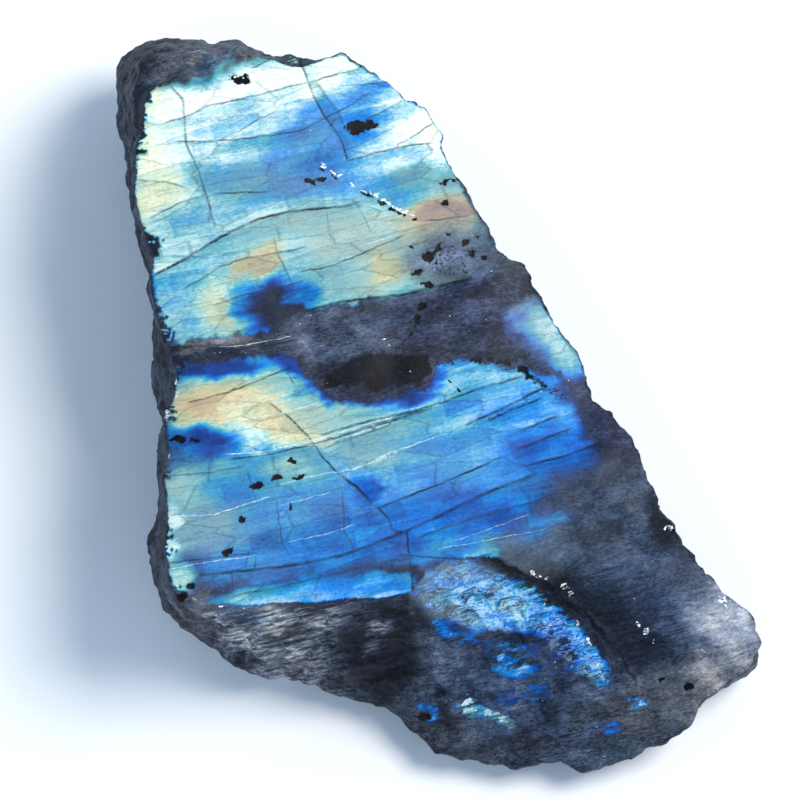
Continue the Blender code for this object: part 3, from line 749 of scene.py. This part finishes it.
def rough_break_tree():
    """Uneven relief of broken feldspar: coarse lumps and chips on the sides, fine crinkles where the
    lobe flashes, and almost none on the cleavage face."""
    tree = bpy.data.node_groups.new("rough break", "GeometryNodeTree")
    tree.interface.new_socket("Geometry", in_out="INPUT", socket_type="NodeSocketGeometry")
    for name, value in BREAK_INPUTS.items():
        socket = tree.interface.new_socket(name, in_out="INPUT", socket_type="NodeSocketFloat")
        socket.default_value = value
    tree.interface.new_socket("Stone", in_out="INPUT", socket_type="NodeSocketMaterial")
    tree.interface.new_socket("Geometry", in_out="OUTPUT", socket_type="NodeSocketGeometry")
    node = partial(add_node, tree)
    given = node("NodeGroupInput").outputs
    parts = {}
    for name in ("breaks", "texture"):
        stored = node("GeometryNodeInputNamedAttribute", {"Name": name}, data_type="FLOAT_VECTOR")
        parts[name] = node("SeparateXYZ", [stored]).outputs
    on_face = parts["breaks"][2]
    foil, _, under_rim = parts["texture"]

    place = node("GeometryNodeInputPosition")
    lump_scale, chip_scale, foil_scale = (
        node("Math", [1.0, given[size]], operation="DIVIDE")
        for size in ("Break grain", "Chip size", "Foil size"))
    lumps = node("TexNoise", {"Vector": place, "Scale": lump_scale, "Detail": 6.0, "Roughness": 0.62})
    chips = node("TexVoronoi", {"Vector": place, "Scale": chip_scale}, feature="F1")
    crinkles = node("TexNoise", {"Vector": place, "Scale": foil_scale, "Detail": 3.0, "Roughness": 0.6})

    # Each pattern's middle value is the solid's own surface.
    reliefs = []
    for pattern, middle, relief in (
        (lumps, 0.5, "Break relief"), (chips, 0.4, "Chip relief"), (crinkles, 0.5, "Foil relief"),
    ):
        raised = node("Math", [pattern, middle], operation="SUBTRACT")
        reliefs.append(node("Math", [raised, given[relief]], operation="MULTIPLY"))
    lumps, chips, crinkles = reliefs
    deeper = node("Math", [under_rim, given["Wall relief"], 1.0], operation="MULTIPLY_ADD")
    lumps = node("Math", [lumps, deeper], operation="MULTIPLY")
    rough = node("Math", [lumps, chips], operation="ADD")
    smooth = node("Math", [lumps, given["Face share"]], operation="MULTIPLY")
    relief = node("Mix", {0: on_face, 2: rough, 3: smooth}, data_type="FLOAT")
    relief = node("Math", [crinkles, foil, relief], operation="MULTIPLY_ADD")

    normal = node("GeometryNodeInputNormal")
    offset = node("VectorMath", {0: normal, "Scale": relief}, operation="SCALE")
    moved = node("GeometryNodeSetPosition", {"Geometry": given["Geometry"], "Offset": offset})
    whole = node("GeometryNodeRealizeInstances", [moved])
    stone = node("GeometryNodeSetMaterial", {"Geometry": whole, "Material": given["Stone"]})
    node("NodeGroupOutput", [stone])
    return tree


# Colours of the flash as the spacing of the lamellae grows, and of the rock as its tone grows where it is
# cool, warm and violet, each with its place between 0 and 1.
FLASH_COLOURS = [
    (0.0, "#1B1C3A"), (0.08, "#0E214C"), (0.19, "#0C3F94"), (0.27, "#0E62BE"), (0.34, "#1088D8"),
    (0.40, "#30A0CA"), (0.46, "#66B2BA"), (0.53, "#8CCACA"), (0.61, "#AAC8B6"), (0.70, "#C0C49C"),
    (0.80, "#D2BE92"), (0.90, "#BC967A"), (1.0, "#90766A")]
COOL_BODY = [(0.0, "#05080F"), (0.25, "#1E2B3C"), (0.5, "#425A75"), (0.75, "#8499B4"), (1.0, "#D2E2EE")]
WARM_BODY = [(0.0, "#09090B"), (0.25, "#2A2A2D"), (0.5, "#5C5A5E"), (0.75, "#9A9696"), (1.0, "#DAD8D2")]
VIOLET_BODY = [(0.0, "#070814"), (0.25, "#262C48"), (0.5, "#565F88"), (0.75, "#9098BA"), (1.0, "#CED4E6")]

# A strong flash glares white, or pale gold where it is golden. The others lie over the flash and the rock.
WHITE_GLARE = "#F8FFFC"
GOLD_GLARE = "#F6FADC"
MILK = "#93A3AC"
FOIL_CREST_HIGHLIGHT = "#C4EEFF"
PARTING = "#1E3440"
DARK_GRAIN = "#05070D"
GLINT_WHITE = "#F8FAFF"
PIN_SPARKLE = "#EEF2FF"

# The colour of each kind of crack, how well it covers, and where the grain starts to close it. The pale
# colour of the bright kind is a painted highlight.
CRACK_LOOKS = (("#0A1A26", 1.0, 0.36), ("#1A3A4A", 0.85, 0.36), ("#E8F8FF", 0.95, 0.46))


def labradorite():
    """Labradorite, cleaved and broken. Light in its lamellae gives the face spectral blues, greens and
    golds under a glassy surface; where they don't face the light the stone is a dark glassy grey."""
    material = bpy.data.materials.new("labradorite, cleaved and broken")
    material.use_nodes = True
    tree = material.node_tree
    tree.nodes.clear()
    node = partial(add_node, tree)
    parts = {}
    for name in ("flash", "body", "breaks", "marks", "crack_nearness", "crack_strength", "texture"):
        stored = node("Attribute", attribute_name=name).outputs["Vector"]
        parts[name] = node("SeparateXYZ", [stored]).outputs
    spacing, strength, milk = parts["flash"]
    tone, warmth, violet = parts["body"]
    on_lobe, fibrous, on_face = parts["breaks"]
    dark_spot, glint, sparkle = parts["marks"]
    foil, blocky, under_rim = parts["texture"]

    # Millimetres on the stone, turned so that X runs along the lamellae.
    place = node("TexCoord").outputs["Object"]
    lamellae = node("Mapping", {
        "Vector": place, "Rotation": (0.0, 0.0, FACE_TURN - LAMELLA_RISE), "Scale": (1.0 / MM,) * 3})

    # Noise drawn out along the lamellae: by how much, how many to a millimetre, detail, roughness and
    # distortion. The streaks are 0.45 mm wide, the grain 0.3 mm, the striae 0.7 mm and the fibres 0.3 mm,
    # which is coarser than the real lamellae and twins, as those are too fine to show.
    noises = []
    for stretch, scale, detail, roughness, distortion in (
        ((0.14, 1.0, 0.3), 2.2, 6.0, 0.7, 0.0),
        ((0.6, 1.0, 1.0), 3.6, 5.0, 0.75, 0.0),
        ((0.035, 1.0, 1.0), 1.5, 3.0, 0.6, 0.0),
        ((0.045, 1.0, 0.4), 3.4, 5.0, 0.64, 0.1),
    ):
        drawn_out = node("VectorMath", [lamellae, stretch], operation="MULTIPLY")
        noises.append(node("TexNoise", {
            "Vector": drawn_out, "Scale": scale, "Detail": detail, "Roughness": roughness,
            "Distortion": distortion}))
    streaks, grain, striae, fibres = noises

    # Foil of fine wavy facets, a millimetre across, where the lobe flashes.
    tilted = node("Mapping", {"Vector": lamellae, "Rotation": (0.0, 0.0, -0.6), "Scale": (0.5, 1.3, 1.0)})
    crinkle = node("TexNoise", {
        "Vector": tilted, "Scale": 1.05, "Detail": 4.0, "Roughness": 0.62, "Distortion": 0.9})

    # Blocks 8 by 1.6 mm between partings, bricks 3.9 by 1.8 mm, facets of 0.25, 1 and 2 to 3 mm, and sparse
    # pins, each leaning its own way. The random red, green and blue of each stand for three such leans.
    wavy = node("VectorMath", [streaks.outputs[1], (0.5, 0.5, 0.5)], operation="SUBTRACT")
    wavy = node("VectorMath", [wavy, (0.7, 0.7, 0.0), lamellae], operation="MULTIPLY_ADD")
    blocks_at = node("VectorMath", [wavy, (0.13, 0.62, 0.0)], operation="MULTIPLY")
    blocks = node("TexVoronoi", {"Vector": blocks_at, "Scale": 1.0}, voronoi_dimensions="2D")
    partings = node("TexVoronoi", {"Vector": blocks_at, "Scale": 1.0}, voronoi_dimensions="2D",
                    feature="DISTANCE_TO_EDGE")
    bricks = node("TexBrick", {
        "Vector": wavy, "Color1": (0.0, 0.0, 0.0, 1.0), "Color2": (1.0, 1.0, 1.0, 1.0), "Scale": 1.0,
        "Mortar Size": 0.0, "Brick Width": 3.9, "Row Height": 1.8}, offset=0.37)
    cells = node("TexVoronoi", {"Vector": lamellae, "Scale": 4.2})
    broad_at = node("VectorMath", [wavy, (0.8, 1.3, 1.0)], operation="MULTIPLY")
    broad = node("TexVoronoi", {"Vector": broad_at, "Scale": 1.0})
    facets_at = node("VectorMath", [wavy, (0.32, 0.55, 0.45)], operation="MULTIPLY")
    facets = node("TexVoronoi", {"Vector": facets_at, "Scale": 1.0})
    pins = node("TexVoronoi", {"Vector": lamellae, "Scale": 1.7})
    block, cell, broad, facet, pin_draw = (
        node("SeparateColor", [voronoi.outputs["Color"]]).outputs
        for voronoi in (blocks, cells, broad, facets, pins))

    # Thin lines where a noise crosses its middle value: striae on the blocks, ridges in the foil.
    thin_lines = []
    for noise, width, height in ((striae, 0.02, 0.32), (crinkle, 0.05, 1.0)):
        crossing = node("Math", [noise, 0.5], operation="SUBTRACT")
        crossing = node("Math", [crossing], operation="ABSOLUTE")
        thin_lines.append(
            node("MapRange", [crossing, 0.0, width, height, 0.0], interpolation_type="SMOOTHSTEP"))
    striae, ridge = thin_lines
    hairline = node("MapRange", [partings, 0.0, 0.04, 0.38, 0.0], interpolation_type="SMOOTHSTEP")
    hairline = node("Math", [hairline, striae], operation="MAXIMUM")
    hairline = node("Math", [hairline, blocky], operation="MULTIPLY")

    # How brightly the flash shows. Each pattern is read between two of its values, and swings the
    # brightness between two others: streaks, blocks and bricks on the face, facets on the lobe.
    glimmer = node("MapRange", [streaks, 0.42, 0.60, 0.1, 1.7])
    glimmer = node("Mix", {0: foil, 2: glimmer, 3: 1.0}, data_type="FLOAT")
    face_swings = [
        (streaks, 0.3, 0.7, 0.89, 1.11), (block[0], 0.0, 1.0, 0.88, 1.14), (bricks, 0.0, 1.0, 0.9, 1.1)]
    lobe_swings = [
        (crinkle, 0.36, 0.64, 0.6, 1.25), (cell[2], 0.0, 1.0, 0.75, 1.25), (broad[0], 0.0, 1.0, 0.2, 1.75)]
    lively = []
    for brightness, swings in ((1.0, face_swings), (glimmer, lobe_swings)):
        for swing in swings:
            brightness = node("Math", [brightness, node("MapRange", swing)], operation="MULTIPLY")
        lively.append(brightness)
    lively = node("Mix", {0: on_lobe, 2: lively[0], 3: lively[1]}, data_type="FLOAT")
    lively = node("Math", [lively, node("MapRange", [grain, 0.3, 0.7, 0.80, 1.19])], operation="MULTIPLY")
    flashing = node("Math", [strength, lively], operation="MULTIPLY")

    # Which colour it shows, with the same patterns.
    hue = spacing
    for shift in ((streaks, 0.25, 0.75, -0.014, 0.014), (grain, 0.25, 0.75, -0.026, 0.026)):
        hue = node("Math", [hue, node("MapRange", shift)], operation="ADD")
    turned = node("MapRange", [block[1], 0.0, 1.0, -0.03, 0.03])
    turned = node("Math", [turned, node("MapRange", [bricks, 0.0, 1.0, -0.024, 0.024])], operation="ADD")
    glancing = node("MapRange", [broad[1], 0.0, 1.0, -0.06, 0.05])
    turned = node("Mix", {0: on_lobe, 2: turned, 3: glancing}, data_type="FLOAT")
    hue = node("Math", [hue, turned], operation="ADD")

    # Body of the stone, darker and lighter with its tone. Long fibres show in the fibrous break. On every
    # break the facets are painted lighter and darker as if each faced the light its own way, more so low on
    # the walls, and the creases get painted shade.
    broken_share = node("Math", [on_face, -0.25, 0.75], operation="MULTIPLY_ADD")
    broken_share = node("Math", [blocky, -0.5, broken_share], operation="MULTIPLY_ADD")
    mottle = node("MapRange", [grain, 0.25, 0.75, -0.15, 0.19])
    layered = node("MapRange", [streaks, 0.3, 0.7, 0.93, 1.07])
    banded = node("MapRange", [fibres, 0.36, 0.64, 0.5, 1.6])
    layered = node("Mix", {0: fibrous, 2: layered, 3: banded}, data_type="FLOAT")
    shade = node("Math", [tone, layered, mottle], operation="MULTIPLY_ADD")
    facing_light = node("Math", [facet[0], broad[2]], operation="ADD")
    facing_light = node("MapRange", [facing_light, 0.3, 1.7, -0.09, 0.09])
    louder = node("Math", [under_rim, 1.0], operation="ADD")
    facing_light = node("Math", [facing_light, louder], operation="MULTIPLY")
    facing_light = node("Math", [facing_light, broken_share], operation="MULTIPLY")
    shade = node("Math", [shade, facing_light], operation="ADD")
    # Painted shade along the creases and striae of the breaks.
    crease_shade = node("Math", [ridge, 0.16, striae], operation="MULTIPLY_ADD")
    crease_shade = node("Math", [crease_shade, broken_share], operation="MULTIPLY")
    shade = node("Math", [shade, crease_shade], operation="SUBTRACT")

    ramps = []
    for reading, stops in (
        (hue, FLASH_COLOURS), (shade, COOL_BODY), (shade, WARM_BODY), (shade, VIOLET_BODY),
    ):
        ramp = node("ValToRGB", [reading])
        set_stops(ramp, stops)
        ramps.append(ramp)
    flash_colour, cool, warm, purple = ramps

    # A weak flash is dim. A strong one glares, unless it is blue.
    dimmed = node("MapRange", [flashing, 0.0, 1.0, 0.25, 1.0])
    flash_colour = node(
        "Mix", {0: 1.0, 6: flash_colour, 7: dimmed}, data_type="RGBA", blend_type="MULTIPLY").outputs[2]
    glare = node("MapRange", [flashing, 0.85, 1.65, 0.0, 1.0])
    pale = node("MapRange", [hue, 0.32, 0.50, 0.0, 1.0])
    glare = node("Math", [glare, pale], operation="MULTIPLY")
    golden = node("MapRange", [hue, 0.50, 0.66, 0.0, 1.0])
    glare_colour = node(
        "Mix", {0: golden, 6: linear(WHITE_GLARE), 7: linear(GOLD_GLARE)}, data_type="RGBA").outputs[2]
    flash_colour = node("Mix", {0: glare, 6: flash_colour, 7: glare_colour}, data_type="RGBA").outputs[2]
    showing = node("MapRange", [flashing, 0.04, 0.62, 0.0, 1.0], interpolation_type="SMOOTHSTEP")

    # Milkiness over it, and a painted highlight on the crests of the foil.
    milky = node("MapRange", [grain, 0.2, 0.8, 0.35, 1.0])
    milky = node("Math", [milky, milk], operation="MULTIPLY")
    crest_highlight = node("Math", [ridge, foil], operation="MULTIPLY")
    crest_highlight = node("Math", [crest_highlight, strength], operation="MULTIPLY")
    crest_highlight = node("Math", [crest_highlight, 0.6], operation="MULTIPLY")

    # Cracks, dark along the dark and veiled kinds, and pale along the bright kind, a painted highlight
    # where their wall faces the light.
    cracks = []
    for near, force, look in zip(parts["crack_nearness"], parts["crack_strength"], CRACK_LOOKS):
        colour, cover, gaps = look
        line = node("MapRange", [near, 0.1, 0.85, cover, 0.0], interpolation_type="SMOOTHSTEP")
        line = node("Math", [line, force], operation="MULTIPLY")
        broken = node("MapRange", [grain, gaps, gaps + 0.14, 0.3, 1.0])
        cracks.append((node("Math", [line, broken], operation="MULTIPLY"), linear(colour)))

    # Dark grains, and painted white glints with a few white crystal grains among them, both torn by the
    # grain, and pin-sized painted sparkles, of which few cells have one.
    spot = node("Math", [cell[1], 0.35, dark_spot], operation="MULTIPLY_ADD")
    spot = node("Math", [grain, 0.9, spot], operation="MULTIPLY_ADD")
    spot = node("MapRange", [spot, 1.12, 1.38, 0.0, 1.0], interpolation_type="SMOOTHSTEP")
    glint_patch = node("Math", [grain, 2.2, glint], operation="MULTIPLY_ADD")
    glint_patch = node("MapRange", [glint_patch, 2.06, 2.2, 0.0, 1.0])
    pin = node("MapRange", [pins, 0.05, 0.13, 0.9, 0.0])
    for draw, limit in ((pin_draw[0], sparkle), (pin_draw[1], 0.14)):
        chosen = node("Math", [draw, limit], operation="LESS_THAN")
        pin = node("Math", [pin, chosen], operation="MULTIPLY")

    # Each layer covers the ones before it.
    surface = cool
    for cover, colour in (
        (warmth, warm), (violet, purple), (showing, flash_colour), (milky, linear(MILK)),
        (crest_highlight, linear(FOIL_CREST_HIGHLIGHT)), (hairline, linear(PARTING)), *cracks, (spot, linear(DARK_GRAIN)),
        (glint_patch, linear(GLINT_WHITE)), (pin, linear(PIN_SPARKLE)),
    ):
        surface = node("Mix", {0: cover, 6: surface, 7: colour}, data_type="RGBA").outputs[2]

    # A glassy stone, dulled by its rough breaks. Its bump is 0.14 mm deep there and a tenth of that on the
    # cleavage face.
    height = node("Math", [grain, 0.7, streaks], operation="MULTIPLY_ADD")
    height = node("Math", [crinkle, 0.6, height], operation="MULTIPLY_ADD")
    depth = node("MapRange", [on_face, 0.0, 1.0, 0.14 * MM, 0.015 * MM])
    bump = node("Bump", {"Height": height, "Strength": 1.0, "Distance": depth})
    shader = node("BsdfPrincipled", {
        "Base Color": surface, "Normal": bump, "Roughness": 0.44, "IOR": 1.56, "Specular IOR Level": 0.08})
    node("OutputMaterial", [shader])
    return material


stone_material = labradorite()
rough = bpy.data.objects.new("skin", skin)
bpy.context.scene.collection.objects.link(rough)
relief = rough.modifiers.new("rough break", "NODES")
relief.node_group = rough_break_tree()
for item in relief.node_group.interface.items_tree:
    if item.in_out == "INPUT" and item.name in BREAK_INPUTS:
        relief[item.identifier] = BREAK_INPUTS[item.name]
    elif item.name == "Stone":
        relief[item.identifier] = stone_material
evaluated = rough.evaluated_get(bpy.context.evaluated_depsgraph_get())
stone_mesh = bpy.data.meshes.new_from_object(evaluated)
bpy.data.objects.remove(rough, do_unlink=True)
stone_mesh.name = "labradorite stone"
stone_mesh.shade_smooth()
for vertex in stone_mesh.vertices:
    vertex.co.z = max(vertex.co.z, 0.0)
stone = bpy.data.objects.new("labradorite_stone", stone_mesh)
bpy.context.scene.collection.objects.link(stone)
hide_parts("labradorite_chunk")
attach(stone, "root")

# ---------------------------------------------------------------------------------------------------
# The table, a plain white sheet under the stone, and the light: one large soft window high on the
# right, and a pale sky fill that leaves the shadow bluish.
# ---------------------------------------------------------------------------------------------------


def matt_white():
    """Matt white card, which takes the stone's soft shadow."""
    material = bpy.data.materials.new("white card, matt")
    material.use_nodes = True
    shader = material.node_tree.nodes["Principled BSDF"]
    shader.inputs["Base Color"].default_value = linear("#FBFBFD")
    shader.inputs["Roughness"].default_value = 0.9
    shader.inputs["Specular IOR Level"].default_value = 0.1
    return material


bpy.ops.mesh.primitive_plane_add(size=4.0, location=(0.0, 0.0, 0.0))
table = bpy.context.object
table.name = "table"
table.data.materials.append(matt_white())

# The window stands a metre off, and its compass is clockwise from the view's up direction.
VIEW_AZIMUTH = math.radians(-32.0)
WINDOW_COMPASS = math.radians(70.0)
WINDOW_ELEVATION = math.radians(55.0)
window = bpy.data.lights.new("window", "AREA")
window.shape = "SQUARE"
window.size = 0.42
window.energy = 8.7
window.color = (1.0, 0.95, 0.87)
turn = VIEW_AZIMUTH - WINDOW_COMPASS
level = Vector((-math.sin(turn), math.cos(turn), 0.0))
lamp = bpy.data.objects.new("window", window)
lamp.location = level * math.cos(WINDOW_ELEVATION) + Vector((0.0, 0.0, math.sin(WINDOW_ELEVATION)))
lamp.rotation_euler = (-lamp.location).to_track_quat("-Z", "Y").to_euler()
bpy.context.scene.collection.objects.link(lamp)

world = bpy.data.worlds.new("sky fill")
world.use_nodes = True
background = world.node_tree.nodes["Background"]
sky = add_node(world.node_tree, "TexCoord").outputs["Generated"]
climb = add_node(world.node_tree, "SeparateXYZ", [sky]).outputs[2]
overhead = add_node(world.node_tree, "MapRange", [climb, 0.80, 0.93, 1.0, 0.10])
world.node_tree.links.new(overhead.outputs[0], background.inputs["Strength"])
background.inputs["Color"].default_value = (0.59, 0.775, 1.0, 1.0)
bpy.context.scene.world = world

# ---------------------------------------------------------------------------------------------------
# The camera, almost straight above and a little towards the stone's fibrous foot.
# ---------------------------------------------------------------------------------------------------

# What the view centres on is right, up and height in millimetres, and the rest is in metres.
VIEW_ELEVATION = math.radians(78.0)
VIEW_DISTANCE = 0.8
VIEW_WIDTH = 0.0791
VIEW_CENTRE = (5.9, 2.95, 17.0)
target = Vector(laid_down(*(np.array([value]) for value in VIEW_CENTRE))[0])
sight = Vector((
    -math.sin(VIEW_AZIMUTH) * math.cos(VIEW_ELEVATION),
    math.cos(VIEW_AZIMUTH) * math.cos(VIEW_ELEVATION),
    -math.sin(VIEW_ELEVATION)))
lens = bpy.data.cameras.new("camera")
lens.sensor_width = 36.0
lens.lens = lens.sensor_width * VIEW_DISTANCE / VIEW_WIDTH
camera = bpy.data.objects.new("camera", lens)
camera.location = target - sight * VIEW_DISTANCE
camera.rotation_euler = (math.pi / 2 - VIEW_ELEVATION, 0.0, VIEW_AZIMUTH)
bpy.context.scene.collection.objects.link(camera)
bpy.context.scene.camera = camera
bpy.context.scene.view_settings.view_transform = "Standard"
